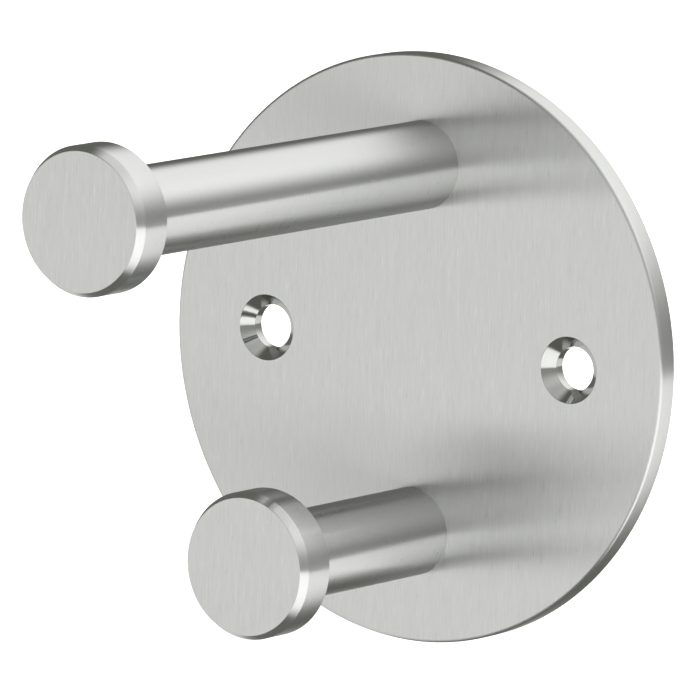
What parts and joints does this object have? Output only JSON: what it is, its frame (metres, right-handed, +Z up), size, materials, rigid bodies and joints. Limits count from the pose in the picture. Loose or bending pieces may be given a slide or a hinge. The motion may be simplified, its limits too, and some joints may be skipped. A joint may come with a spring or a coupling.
{
  "type": "wall hook rack",
  "caption": "Round wall plate with a long and a short horizontal peg, each ending in a flat round head that keeps a loop from slipping off.",
  "frame": {"origin": "centre of the plate's back face, the one that lies on the wall", "axes": "+Z up, +Y into the wall, pegs along -Y, +X to the right of a person facing the wall"},
  "size_m": [0.08, 0.079, 0.08],
  "materials": {
    "plate_steel": "stainless, fine vertical brushing",
    "peg_steel": "stainless, turned and fine brushed",
    "fastener_steel": "plain steel, zinc plated"
  },
  "bodies": {
    "root": {"wall_plate": "plate_steel", "long_peg_rod": "peg_steel", "long_peg_head": "peg_steel", "long_peg_head_stud": "fastener_steel", "long_peg_screw": "fastener_steel", "short_peg_rod": "peg_steel", "short_peg_head": "peg_steel", "short_peg_head_stud": "fastener_steel", "short_peg_screw": "fastener_steel"}
  },
  "joints": []
}
